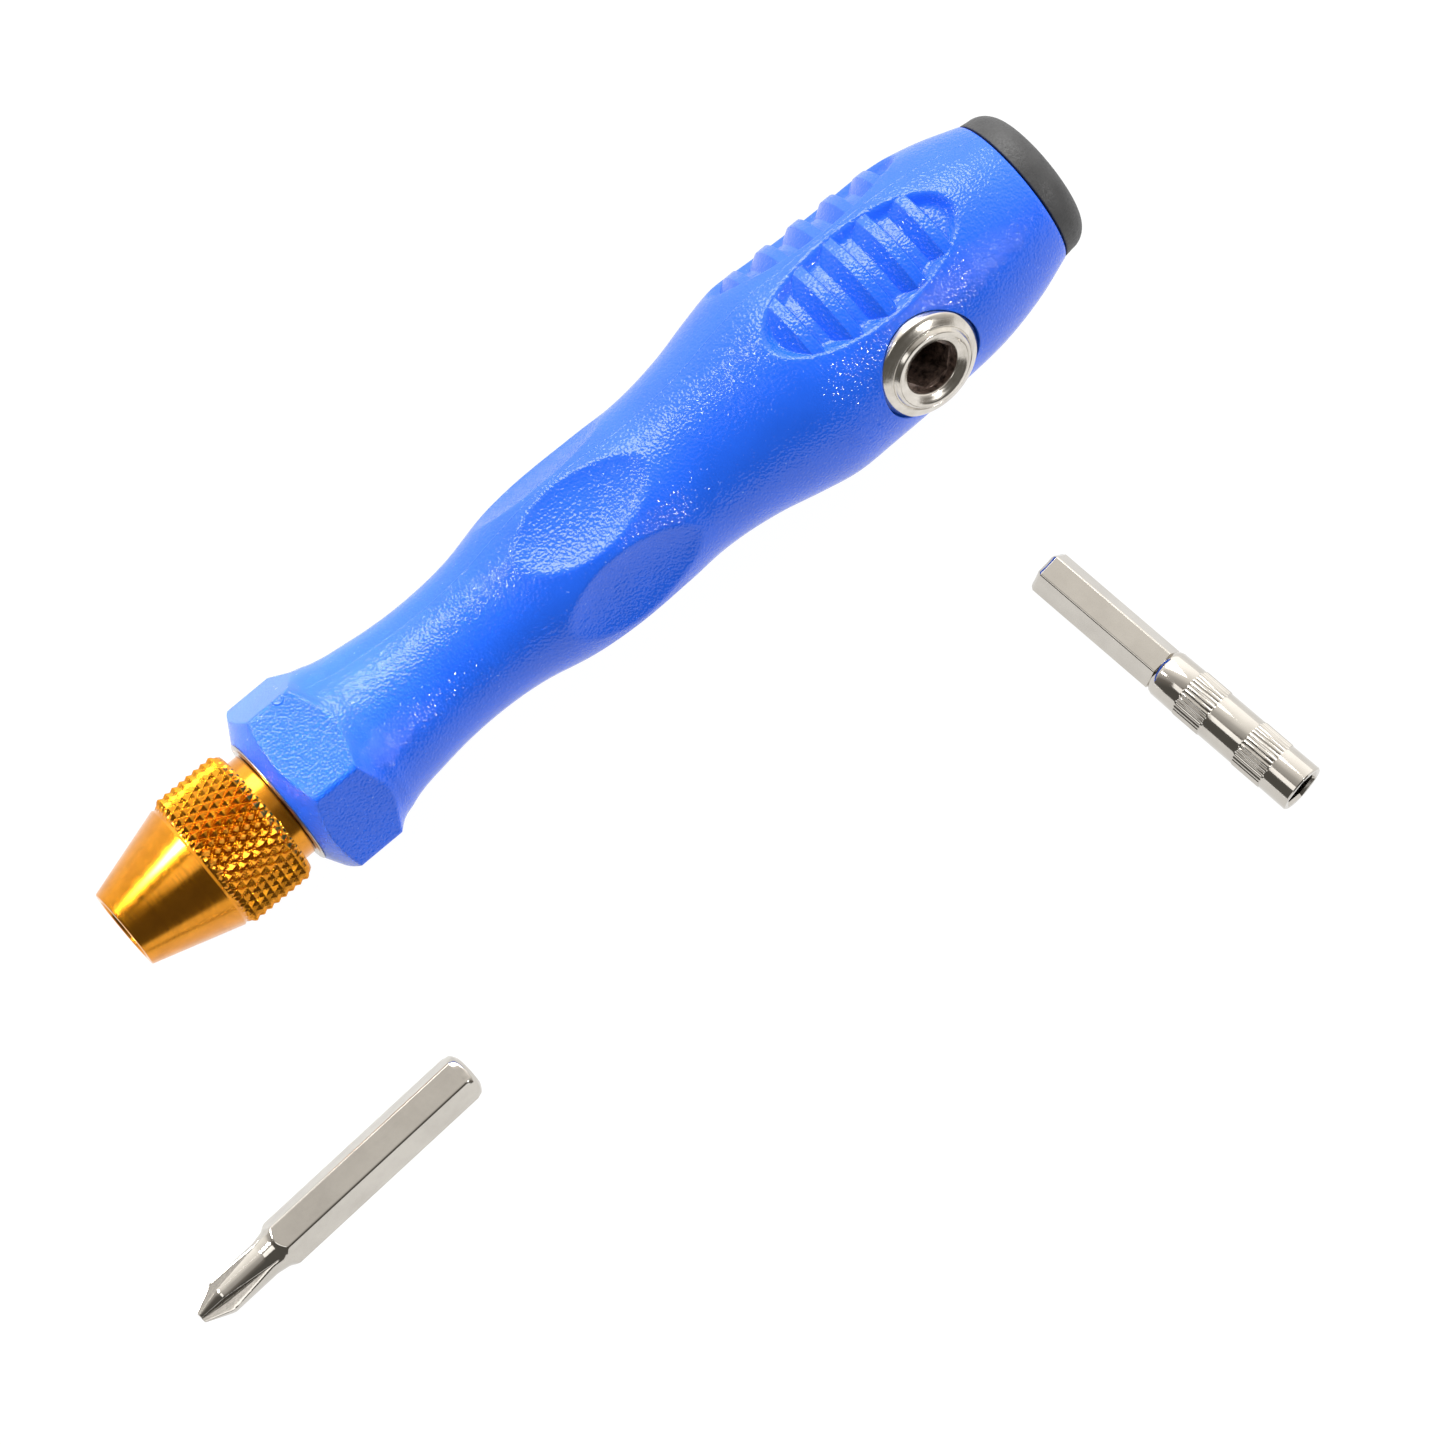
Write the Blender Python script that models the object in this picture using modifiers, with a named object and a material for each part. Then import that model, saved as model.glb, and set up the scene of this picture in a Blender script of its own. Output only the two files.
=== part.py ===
"""Precision screwdriver with a collet chuck, a side drive socket, a swivel end cap and two loose bits.

Frame: the handle's axis is X. The origin is the centre of the end cap's flat end and +X points to the
chuck's mouth. Z is up. The handle lies on the plane z = -LYING_HEIGHT, and so do the two bits, at +Y.
"""
import math

import bmesh
import bpy
from mathutils import Euler, Matrix, Vector

MM = 0.001

# Handle: distances along X from the end cap's flat end, radii from the axis.
CAP_JOINT_X = 3.0 * MM
HANDLE_FRONT_X = 83.4 * MM
FRONT_FACE_RADIUS = 6.15 * MM
COLLAR_FLATS = 15.5 * MM            # across the collar's flats
COLLAR_CORNER_RADIUS = 8.9 * MM     # the corners are turned down a little
COLLAR_FRONT_X = 81.75 * MM
COLLAR_REAR_X = 77.4 * MM
GRIP_OUTLINE = [                    # X and radius of the turned grip, from the cap to the collar
    (3.0, 7.12), (6.5, 8.30), (11.0, 9.28), (17.0, 9.72), (24.0, 9.90), (28.6, 9.79),
    (31.6, 9.18), (35.5, 8.27), (41.5, 7.65), (45.5, 7.89), (48.5, 8.10), (50.6, 8.12),
    (53.6, 7.80), (56.0, 7.33), (60.0, 6.47), (64.8, 6.12), (70.5, 6.49), (74.8, 7.31),
    (76.9, 8.30), (77.4, 8.90),
]
GRIP_STEP = 2.0 * MM
LYING_HEIGHT = 9.9 * MM             # the handle's axis above the surface it lies on

FACES = [30, 90, 150, 210, 270, 330]        # directions of the collar's flats, degrees from +Y to +Z
SCOOP_X = 50.6 * MM
SCOOP_SIZE = (18.3 * MM, 11.0 * MM, 3.2 * MM)    # the scoop ellipsoid's full length, width and height
SCOOP_OUT = 8.5 * MM                # its centre's distance from the axis

OVAL_X = 19.2 * MM
OVAL_LENGTH = 20.3 * MM
OVAL_WIDTH = 8.9 * MM
OVAL_DEPTH = 0.8 * MM
OVAL_FACES = [90, 150]
RIDGE_X = 20.0 * MM                 # the middle rib's edge, where its slope meets its flat top
RIB_COUNT = 5
RIB_PITCH = 3.5 * MM
RIB_SLOPE = 1.15 * MM               # length of the slope on a rib's chuck side
RIB_TOP = 1.2 * MM
RIB_BACK = 0.25 * MM                # length of the steep side towards the cap
RIB_LENGTH = 7.4 * MM

# Side socket
BUSH_X = 19.05 * MM
BUSH_FACE = 26.3                   # its direction, degrees from +Y to +Z
BUSH_TOP = 10.15 * MM               # the lip's height over the handle's axis
BUSH_FLANGE_RADIUS = 4.95 * MM
BUSH_SHANK_RADIUS = 3.5 * MM
BUSH_BOTTOM = 0.0
SPOT_FACE = 8.0 * MM                # height of the flange's seat over the handle's axis
HEX_SOCKET = 4.1 * MM               # across flats, for a 4 mm shank

# Chuck
MOUTH_X = 100.0 * MM
MOUTH_RADIUS = 2.88 * MM
NUT_RADIUS = 6.48 * MM
NECK_RADIUS = 4.96 * MM
KNURL_X = (84.6 * MM, 91.8 * MM)
THREAD_RADIUS = 4.0 * MM
TAPER_X = 92.3 * MM                 # where the nut's inner taper begins
STUD_REAR_X = 70.0 * MM
STUD_RADIUS = 4.6 * MM
COLLET_X = (86.5 * MM, 98.2 * MM)
COLLET_SHANK_RADIUS = 3.1 * MM
SLIT_WIDTH = 0.6 * MM

# Bits
SHANK_FLATS = 4.0 * MM
SOCKET_SHANK_FLATS = 3.7 * MM
CROSS_BIT_LENGTH = 30.0 * MM
CROSS_BIT_PLACE = (100.6 * MM, 26.75 * MM)
CROSS_BIT_TURN = 2.7                # degrees from +X to +Y, shank to tip
SOCKET_BIT_LENGTH = 28.8 * MM
SOCKET_BIT_PLACE = (19.7 * MM, 39.4 * MM)
SOCKET_BIT_TURN = 96.4
SOCKET_BARREL_RADIUS = 2.28 * MM

GAP = 0.1 * MM                      # play between neighbouring pieces
SHARP_ANGLE = math.radians(32)
ROUND_STEPS = 48

COLORS = {                          # colour, roughness, metallic
    "blue_plastic": ((0.045, 0.19, 0.83), 0.38, 0.0),
    "charcoal_plastic": ((0.05, 0.05, 0.052), 0.6, 0.0),
    "gold_anodised": ((0.83, 0.42, 0.05), 0.28, 1.0),
    "nickel_plate": ((0.72, 0.70, 0.66), 0.2, 1.0),
    "tool_steel": ((0.55, 0.54, 0.52), 0.3, 1.0),
    "magnet": ((0.30, 0.30, 0.31), 0.4, 1.0),
    "white_acetal": ((0.85, 0.85, 0.82), 0.5, 0.0),
}


# ---- tools ----------------------------------------------------------------------------------------------

def clear_scene():
    for obj in list(bpy.data.objects):
        bpy.data.objects.remove(obj)


def collection(name):
    made = bpy.data.collections.new(name)
    bpy.context.scene.collection.children.link(made)
    return made


def material(name):
    """A Principled material of the named finish, made once."""
    found = bpy.data.materials.get(name)
    if found:
        return found
    color, roughness, metallic = COLORS[name]
    made = bpy.data.materials.new(name)
    made.use_nodes = True
    made.diffuse_color = (*color, 1.0)
    shader = made.node_tree.nodes["Principled BSDF"]
    shader.inputs["Base Color"].default_value = (*color, 1.0)
    shader.inputs["Roughness"].default_value = roughness
    shader.inputs["Metallic"].default_value = metallic
    return made


def add(name, mesh, home):
    obj = bpy.data.objects.new(name, mesh)
    home.objects.link(obj)
    if home is cutters:
        obj.hide_render = True
        obj.display_type = "WIRE"
    return obj


def turned(name, outline, home, steps=ROUND_STEPS, frame=None):
    """A body turned about its frame's Z from (radius, height) points that run down its outer side.

    An outline that begins and ends on the axis is solid. Any other outline is closed into a ring.
    """
    mesh = bpy.data.meshes.new(name)
    on_axis = outline[0][0] == 0 and outline[-1][0] == 0
    edges = [(i, i + 1) for i in range(len(outline) - 1)]
    if not on_axis:
        edges.append((len(outline) - 1, 0))
    mesh.from_pydata([(r, 0, z) for r, z in outline], edges, [])
    obj = add(name, mesh, home)
    obj.matrix_world = frame or ALONG_X
    screw = obj.modifiers.new("turn", "SCREW")
    screw.axis = "Z"
    screw.steps = steps
    screw.render_steps = steps
    screw.use_merge_vertices = True
    screw.merge_threshold = 1e-6
    screw.use_smooth_shade = False
    return obj


def block(name, size, home, frame):
    """A box of the given size, centred on its frame."""
    mesh = bpy.data.meshes.new(name)
    shape = bmesh.new()
    bmesh.ops.create_cube(shape, size=1.0, matrix=Matrix.Diagonal((*size, 1.0)))
    shape.to_mesh(mesh)
    shape.free()
    obj = add(name, mesh, home)
    obj.matrix_world = frame
    return obj


def prism(name, flats, bottom, top, home, frame, sides=6, turn=0.0):
    """A regular prism given its distance across flats, from bottom to top along its frame's Z."""
    mesh = bpy.data.meshes.new(name)
    shape = bmesh.new()
    radius = flats / 2 / math.cos(math.pi / sides)
    place = Matrix.Translation((0, 0, (bottom + top) / 2)) @ Matrix.Rotation(turn, 4, "Z")
    bmesh.ops.create_cone(shape, cap_ends=True, segments=sides, radius1=radius, radius2=radius,
                          depth=top - bottom, matrix=place)
    shape.to_mesh(mesh)
    shape.free()
    obj = add(name, mesh, home)
    obj.matrix_world = frame
    return obj


def boolean(target, tool, operation="DIFFERENCE"):
    modifier = target.modifiers.new(tool.name, "BOOLEAN")
    modifier.operation = operation
    modifier.solver = "EXACT"
    modifier.object = tool


def finish(obj, finish_name):
    """Applies the modifiers, shades the round faces smooth and gives the piece its material."""
    bpy.context.view_layer.update()
    seen = obj.evaluated_get(bpy.context.evaluated_depsgraph_get())
    mesh = bpy.data.meshes.new_from_object(seen)
    obj.modifiers.clear()
    obj.data = mesh
    mesh.shade_smooth()
    mesh.set_sharp_from_angle(angle=SHARP_ANGLE)
    mesh.materials.clear()
    mesh.materials.append(material(finish_name))
    return obj


def facing(x, degrees):
    """A frame on the handle's axis at x, whose Z points out at an angle from +Y to +Z, and whose X is +X."""
    outward = Vector((0, math.cos(math.radians(degrees)), math.sin(math.radians(degrees))))
    along = Vector((1, 0, 0))
    turn = Matrix((along, outward.cross(along), outward)).transposed()
    return Matrix.Translation((x, 0, 0)) @ turn.to_4x4()


def smooth_curve(points):
    """Cubic curve through points of rising x, with each point's slope weighted from its neighbours'."""
    slopes = [(b[1] - a[1]) / (b[0] - a[0]) for a, b in zip(points, points[1:])]
    widths = [b[0] - a[0] for a, b in zip(points, points[1:])]
    tangents = [slopes[0]]
    for i in range(1, len(slopes)):
        total = slopes[i - 1] * widths[i] + slopes[i] * widths[i - 1]
        tangents.append(total / (widths[i - 1] + widths[i]))
    tangents.append(slopes[-1])

    def value(x):
        i = max(j for j in range(len(widths)) if points[j][0] <= x or j == 0)
        t = (x - points[i][0]) / widths[i]
        rise = (2 * t**3 - 3 * t**2 + 1) * points[i][1] + (3 * t**2 - 2 * t**3) * points[i + 1][1]
        bend = (t**3 - 2 * t**2 + t) * tangents[i] + (t**3 - t**2) * tangents[i + 1]
        return rise + bend * widths[i]

    return value


# ---- handle ---------------------------------------------------------------------------------------------

def grip_points():
    """(radius, height) points of the grip from the collar down to the cap joint."""
    count = round((COLLAR_REAR_X - CAP_JOINT_X) / GRIP_STEP)
    points = []
    for i in range(count, -1, -1):
        x = CAP_JOINT_X + (COLLAR_REAR_X - CAP_JOINT_X) * i / count
        points.append((grip_radius(x), x))
    return points


def make_handle():
    """The blue moulding: collar, waisted grip, scoops, ribbed ovals, and the seats for what it holds."""
    rear_recess = 4.5 * MM
    recess_floor_x = 7.3 * MM
    pin_hole = 1.4 * MM
    pin_floor_x = 12.5 * MM
    front_bore = STUD_RADIUS + GAP
    outline = [(0, STUD_REAR_X - GAP), (front_bore, STUD_REAR_X - GAP), (front_bore, HANDLE_FRONT_X)]
    outline += [(FRONT_FACE_RADIUS, HANDLE_FRONT_X), (COLLAR_CORNER_RADIUS, COLLAR_FRONT_X)]
    outline += grip_points()
    outline += [(rear_recess, CAP_JOINT_X), (rear_recess, recess_floor_x), (pin_hole, recess_floor_x)]
    outline += [(pin_hole, pin_floor_x), (0, pin_floor_x)]
    handle = turned("handle_body", outline, parts)

    ring_outline = [(14 * MM, COLLAR_FRONT_X + 3 * MM), (14 * MM, COLLAR_REAR_X - 3.4 * MM)]
    inner = COLLAR_FLATS / 2 / math.cos(math.pi / 6)
    ring_outline += [(inner, ring_outline[1][1]), (inner, ring_outline[0][1])]
    boolean(handle, turned("collar_flats", ring_outline, cutters, steps=6, frame=ALONG_X_HEX))

    for face in FACES:
        boolean(handle, make_scoop(face))
    pocket = make_oval_pocket()
    for face in OVAL_FACES:
        copy = add(f"oval_pocket_{face}", pocket.data, cutters)
        copy.matrix_world = facing(OVAL_X, face)
        boolean(handle, copy)
    bpy.data.objects.remove(pocket)

    seat = BUSH_FLANGE_RADIUS + GAP
    shank = BUSH_SHANK_RADIUS + GAP
    bore = [(0, 14 * MM), (seat, 14 * MM), (seat, SPOT_FACE), (shank, SPOT_FACE)]
    bore += [(shank, BUSH_BOTTOM - GAP), (0, BUSH_BOTTOM - GAP)]
    boolean(handle, turned("bush_seat", bore, cutters, steps=40, frame=facing(BUSH_X, BUSH_FACE)))
    return finish(handle, "blue_plastic")


def make_scoop(face):
    """A long ellipsoid that hollows one finger scoop."""
    mesh = bpy.data.meshes.new("scoop")
    shape = bmesh.new()
    size = Matrix.Diagonal((SCOOP_SIZE[0], SCOOP_SIZE[1], SCOOP_SIZE[2], 1.0))
    bmesh.ops.create_uvsphere(shape, u_segments=28, v_segments=18, radius=0.5, matrix=size)
    shape.to_mesh(mesh)
    shape.free()
    scoop = add(f"scoop_{face}", mesh, cutters)
    scoop.matrix_world = facing(SCOOP_X, face) @ Matrix.Translation((0, 0, SCOOP_OUT))
    return scoop


def make_oval_pocket():
    """What one grip oval removes at +Z: an elliptic plug, less the pocket's floor and its five ribs."""
    plug = prism("oval_plug", OVAL_WIDTH, 7 * MM, 12 * MM, cutters, facing(OVAL_X, 90), sides=32)
    plug.data.transform(Matrix.Diagonal((OVAL_LENGTH / OVAL_WIDTH, 1, 1, 1)))
    floor = [(r - OVAL_DEPTH, x) for r, x in grip_points() if x < OVAL_X + OVAL_LENGTH]
    floor = [(0, floor[0][1])] + floor + [(0, floor[-1][1])]
    boolean(plug, turned("oval_floor", floor, cutters))
    for i in range(RIB_COUNT):
        boolean(plug, make_rib(i, RIDGE_X + (i - RIB_COUNT // 2) * RIB_PITCH))
    return finish(plug, "blue_plastic")


def make_rib(index, x):
    """A bar across the oval: a slope towards the chuck, a flat top from x, a steep side to the cap."""
    mesh = bpy.data.meshes.new("rib")
    shape = bmesh.new()
    bmesh.ops.create_cube(shape, size=1.0)
    top = grip_radius(x)
    foot = top - OVAL_DEPTH - 0.3 * MM
    spread = (top - foot) / OVAL_DEPTH
    length = RIB_LENGTH * (0.62 + 0.38 * math.cos((index - RIB_COUNT // 2) * 0.62))
    for vertex in shape.verts:
        high = vertex.co.z > 0
        ahead = 0.0 if high else RIB_SLOPE * spread
        behind = -RIB_TOP if high else -RIB_TOP - RIB_BACK * spread
        across = length - 2.0 * MM if high else length
        vertex.co = (ahead if vertex.co.x > 0 else behind, vertex.co.y * across, top if high else foot)
    shape.to_mesh(mesh)
    shape.free()
    rib = add(f"rib_{index}", mesh, cutters)
    rib.matrix_world = facing(x, 90)
    return rib


# ---- chuck ----------------------------------------------------------------------------------------------

def make_stud():
    """Steel insert: shank in the handle, bevelled flange, threaded spigot, collet seat and hex drive bore."""
    flange_x = HANDLE_FRONT_X + GAP
    spigot_x = 91.2 * MM
    seat_x = 86.0 * MM
    magnet_x = 75.2 * MM
    spigot = THREAD_RADIUS - GAP
    outline = [(COLLET_SHANK_RADIUS + GAP, seat_x), (COLLET_SHANK_RADIUS + GAP, spigot_x)]
    outline += [(spigot - 0.3 * MM, spigot_x), (spigot, spigot_x - 0.3 * MM), (spigot, flange_x + 0.5 * MM)]
    outline += [(5.1 * MM, flange_x + 0.5 * MM), (6.04 * MM, flange_x + 0.1 * MM), (6.04 * MM, flange_x)]
    outline += [(STUD_RADIUS, flange_x), (STUD_RADIUS, STUD_REAR_X), (0, STUD_REAR_X), (0, seat_x)]
    stud = turned("chuck_stud", outline, parts, steps=40)
    boolean(stud, prism("stud_hex", HEX_SOCKET, 77.3 * MM, 88 * MM, cutters, ALONG_X_HEX))
    boolean(stud, prism("stud_magnet_seat", 2 * 2.3 * MM, magnet_x, 78 * MM, cutters, ALONG_X, sides=24))
    return finish(stud, "nickel_plate")


def make_collet():
    """Split collet: plain shank, tapered jaws with a hex bore, and two crossed slits."""
    rear, front = COLLET_X
    outline = [(0, front), (2.82 * MM, front), (3.68 * MM, 92.0 * MM), (3.68 * MM, 91.6 * MM)]
    outline += [(COLLET_SHANK_RADIUS, 91.4 * MM), (COLLET_SHANK_RADIUS, rear), (0, rear)]
    collet = turned("collet", outline, parts, steps=36)
    boolean(collet, prism("collet_hex", HEX_SOCKET, rear - MM, front + MM, cutters, ALONG_X_HEX))
    for index, angle in enumerate((0, 90)):
        middle = Matrix.Translation(((front + 90.0 * MM) / 2 + MM, 0, 0))
        slit = block(f"slit_{index}", (front - 90.0 * MM + 2 * MM, SLIT_WIDTH, 12 * MM), cutters,
                     middle @ Matrix.Rotation(math.radians(angle), 4, "X"))
        boolean(collet, slit)
    return finish(collet, "tool_steel")


def make_nut():
    """Chuck nut: cone, band for the knurl and neck outside; mouth, taper and thread bore inside."""
    rear = HANDLE_FRONT_X + GAP + 0.65 * MM
    knurl_rear, knurl_front = KNURL_X
    edge = 0.35 * MM
    outline = [(MOUTH_RADIUS, MOUTH_X), (3.70 * MM, MOUTH_X), (NUT_RADIUS - 0.1 * MM, knurl_front)]
    outline += [(NUT_RADIUS, knurl_front - 0.1 * MM), (NUT_RADIUS, knurl_rear + edge)]
    outline += [(NUT_RADIUS - edge, knurl_rear), (NECK_RADIUS, knurl_rear)]
    outline += [(NECK_RADIUS, rear), (THREAD_RADIUS, rear)]
    outline += [(THREAD_RADIUS, TAPER_X), (MOUTH_RADIUS, 98.9 * MM)]
    return finish(turned("chuck_nut", outline, parts), "gold_anodised")


def make_disc(name, radius, bottom, top, frame, finish_name):
    outline = [(0, top), (radius, top), (radius, bottom), (0, bottom)]
    return finish(turned(name, outline, parts, steps=24, frame=frame), finish_name)


# ---- side socket ----------------------------------------------------------------------------------------

def make_bush():
    """Flanged bush: bevelled flange, raised lip with a dished mouth, round entry, then a hex socket."""
    flange_edge = 9.3 * MM
    entry = 2.58 * MM
    outline = [(0, 9.2 * MM), (entry, 9.2 * MM), (entry, BUSH_TOP - 0.35 * MM), (3.15 * MM, BUSH_TOP)]
    outline += [(3.55 * MM, BUSH_TOP), (3.75 * MM, BUSH_TOP - 0.3 * MM), (4.8 * MM, flange_edge)]
    outline += [(BUSH_FLANGE_RADIUS, flange_edge - 0.15 * MM), (BUSH_FLANGE_RADIUS, SPOT_FACE + GAP)]
    outline += [(BUSH_SHANK_RADIUS, SPOT_FACE + GAP), (BUSH_SHANK_RADIUS, BUSH_BOTTOM), (0, BUSH_BOTTOM)]
    frame = facing(BUSH_X, BUSH_FACE)
    bush = turned("side_bush", outline, parts, steps=40, frame=frame)
    boolean(bush, prism("bush_hex", HEX_SOCKET, 2.6 * MM, 11 * MM, cutters, frame, turn=math.radians(30)))
    boolean(bush, prism("bush_magnet_seat", 2 * 2.3 * MM, MM, 3 * MM, cutters, frame, sides=24))
    return finish(bush, "nickel_plate")


# ---- end cap --------------------------------------------------------------------------------------------

def make_end_cap():
    """Swivel cap: rounded rim outside, and a boss whose lipped socket snaps over the pin's head."""
    rim = CAP_JOINT_X - 0.15 * MM
    rounding = 2.0 * MM
    side = 6.95 * MM
    arc = []
    for i in range(7):
        angle = math.radians(75) * i / 6
        arc.append((side - rounding + rounding * math.cos(angle), rounding - rounding * math.sin(angle)))
    boss, lip, socket = 4.2 * MM, 1.65 * MM, 2.3 * MM
    outline = [(0, 3.9 * MM), (socket, 3.9 * MM), (socket, 5.5 * MM), (lip, 5.8 * MM), (lip, 6.6 * MM)]
    outline += [(boss, 6.6 * MM), (boss, rim), (7.05 * MM, rim)] + arc + [(4.6 * MM, 0), (0, 0)]
    return finish(turned("end_cap", outline, parts), "charcoal_plastic")


def make_swivel_pin():
    """Headed pin: its shank is pressed into the handle and its head sits in the cap's socket."""
    outline = [(0, 12.3 * MM), (1.3 * MM, 12.3 * MM), (1.3 * MM, 5.35 * MM), (2.0 * MM, 5.2 * MM)]
    outline += [(2.0 * MM, 4.7 * MM), (1.2 * MM, 4.1 * MM), (0, 4.1 * MM)]
    return finish(turned("swivel_pin", outline, parts, steps=24), "tool_steel")


def make_thrust_washer():
    outline = [(1.6 * MM, 7.15 * MM), (4.1 * MM, 7.15 * MM), (4.1 * MM, 6.75 * MM), (1.6 * MM, 6.75 * MM)]
    return finish(turned("thrust_washer", outline, parts, steps=32), "white_acetal")


# ---- bits -----------------------------------------------------------------------------------------------

def lying(place, degrees, height, dip=0.0):
    """A frame at a bit's middle: its Z runs along the bit, and its X points up."""
    spot = Matrix.Translation((*place, height - LYING_HEIGHT))
    return spot @ Euler((0, math.pi / 2 + math.radians(dip), math.radians(degrees))).to_matrix().to_4x4()


def make_cross_bit():
    """Hex shank with a chamfered rear, a shoulder, a round neck and a four-winged cross point."""
    half = CROSS_BIT_LENGTH / 2
    neck = 1.62 * MM
    shoulder = half - 9.4 * MM
    frame = lying(CROSS_BIT_PLACE, CROSS_BIT_TURN, SHANK_FLATS / 2)
    corner = SHANK_FLATS / math.sqrt(3) - 0.12 * MM
    outline = [(0, half), (0.5 * MM, half), (1.52 * MM, half - 2.3 * MM), (neck, half - 2.6 * MM)]
    outline += [(neck, shoulder + 2.4 * MM), (neck + 0.25 * MM, shoulder + 1.2 * MM), (corner, shoulder)]
    outline += [(corner, -half + 1.1 * MM), (corner - 0.5 * MM, -half + 0.3 * MM)]
    outline += [(corner - 1.0 * MM, -half), (0, -half)]
    bit = turned("cross_bit", outline, parts, steps=36, frame=frame)
    shank = prism("cross_hex", SHANK_FLATS, -half - MM, half + MM, cutters, frame)
    boolean(bit, shank, "INTERSECT")
    for index in range(4):
        boolean(bit, make_flute(index, frame, half))
    return finish(bit, "nickel_plate")


def make_flute(index, frame, half):
    """A sloping V cutter that grinds one flute between two wings of the cross point."""
    mesh = bpy.data.meshes.new("flute")
    shape = bmesh.new()
    bmesh.ops.create_cube(shape, size=1.0)
    turn = Matrix.Rotation(math.radians(45), 4, "Z")
    bmesh.ops.transform(shape, matrix=turn, verts=shape.verts)
    bmesh.ops.transform(shape, matrix=Matrix.Diagonal((3.4 * MM, 3.4 * MM, 12 * MM, 1)), verts=shape.verts)
    shape.to_mesh(mesh)
    shape.free()
    flute = add(f"flute_{index}", mesh, cutters)
    around = Matrix.Rotation(math.radians(45 + 90 * index), 4, "Z")
    lean = Matrix.Rotation(math.radians(-13), 4, "Y")
    flute.matrix_world = frame @ around @ Matrix.Translation((2.75 * MM, 0, half - MM)) @ lean
    return flute


def make_socket_bit():
    """Hex shank and a stouter round barrel with two fluted bands and a nut socket in its end."""
    half = SOCKET_BIT_LENGTH / 2
    barrel = SOCKET_BARREL_RADIUS
    shoulder = -half + 13.2 * MM
    frame = lying(SOCKET_BIT_PLACE, SOCKET_BIT_TURN, barrel)
    corner = SOCKET_SHANK_FLATS / math.sqrt(3)
    outline = [(0, half), (barrel - 0.1 * MM, half), (barrel, half - 0.1 * MM), (barrel, half - 9 * MM)]
    outline += [(barrel - 0.12 * MM, shoulder + 0.5 * MM), (corner - 0.25 * MM, shoulder)]
    outline += [(0, shoulder)]
    bit = turned("socket_bit", outline, parts, steps=36, frame=frame)
    shank = prism("socket_hex", SOCKET_SHANK_FLATS, -half, shoulder + 2 * MM, cutters, frame)
    bevel = shank.modifiers.new("soft_end", "BEVEL")
    bevel.width = 0.15 * MM
    bevel.segments = 1
    boolean(bit, shank, "UNION")
    boolean(bit, prism("nut_socket", 3.0 * MM, half - 3 * MM, half + MM, cutters, frame))
    return finish(bit, "nickel_plate")


# ---- build ----------------------------------------------------------------------------------------------

clear_scene()
parts = collection("watchmaker_screwdriver")
cutters = collection("cutters")
ALONG_X = Matrix.Rotation(math.pi / 2, 4, "Y")
ALONG_X_HEX = ALONG_X @ Matrix.Rotation(math.radians(30), 4, "Z")
grip_radius = smooth_curve([(x * MM, r * MM) for x, r in GRIP_OUTLINE])

make_handle()
make_stud()
make_collet()
make_nut()
make_disc("bit_magnet", 2.2 * MM, 75.3 * MM, 77.1 * MM, ALONG_X, "magnet")
make_bush()
make_disc("side_magnet", 2.2 * MM, 1.1 * MM, 2.5 * MM, facing(BUSH_X, BUSH_FACE), "magnet")
make_end_cap()
make_swivel_pin()
make_thrust_washer()
make_cross_bit()
make_socket_bit()
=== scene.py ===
"""Looks of a precision screwdriver with a collet chuck, a side socket, a swivel cap and two loose bits.

Lengths are in millimetres, times MM. A turned piece is a skin: rows of points round an axis, whose radius
may change with the angle. The handle's angles run from +Y to +Z, and its positions run along +X.
"""
import math

import bmesh
import bpy
import numpy as np
from mathutils import Euler, Matrix, Vector


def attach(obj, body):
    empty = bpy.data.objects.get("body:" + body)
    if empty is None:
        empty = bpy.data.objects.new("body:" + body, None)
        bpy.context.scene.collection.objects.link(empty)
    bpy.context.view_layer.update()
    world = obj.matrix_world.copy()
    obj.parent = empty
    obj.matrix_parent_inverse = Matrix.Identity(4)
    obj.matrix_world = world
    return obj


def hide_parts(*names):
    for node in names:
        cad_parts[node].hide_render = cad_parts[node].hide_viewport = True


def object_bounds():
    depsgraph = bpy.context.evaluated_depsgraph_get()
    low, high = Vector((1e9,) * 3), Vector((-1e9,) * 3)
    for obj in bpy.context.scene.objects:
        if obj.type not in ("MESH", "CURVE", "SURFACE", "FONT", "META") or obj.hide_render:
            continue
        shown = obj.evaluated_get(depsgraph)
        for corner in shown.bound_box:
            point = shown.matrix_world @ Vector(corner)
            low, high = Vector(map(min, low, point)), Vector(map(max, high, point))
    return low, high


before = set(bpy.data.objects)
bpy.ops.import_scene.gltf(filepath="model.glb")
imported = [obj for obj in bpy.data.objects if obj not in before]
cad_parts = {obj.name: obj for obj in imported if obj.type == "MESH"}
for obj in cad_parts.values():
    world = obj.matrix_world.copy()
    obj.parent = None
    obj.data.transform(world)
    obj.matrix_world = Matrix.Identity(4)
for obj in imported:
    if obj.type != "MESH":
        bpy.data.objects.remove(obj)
cad_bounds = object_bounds()

MM = 0.001
TURN = 2 * math.pi
SHARP_ANGLE = math.radians(35)

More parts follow.
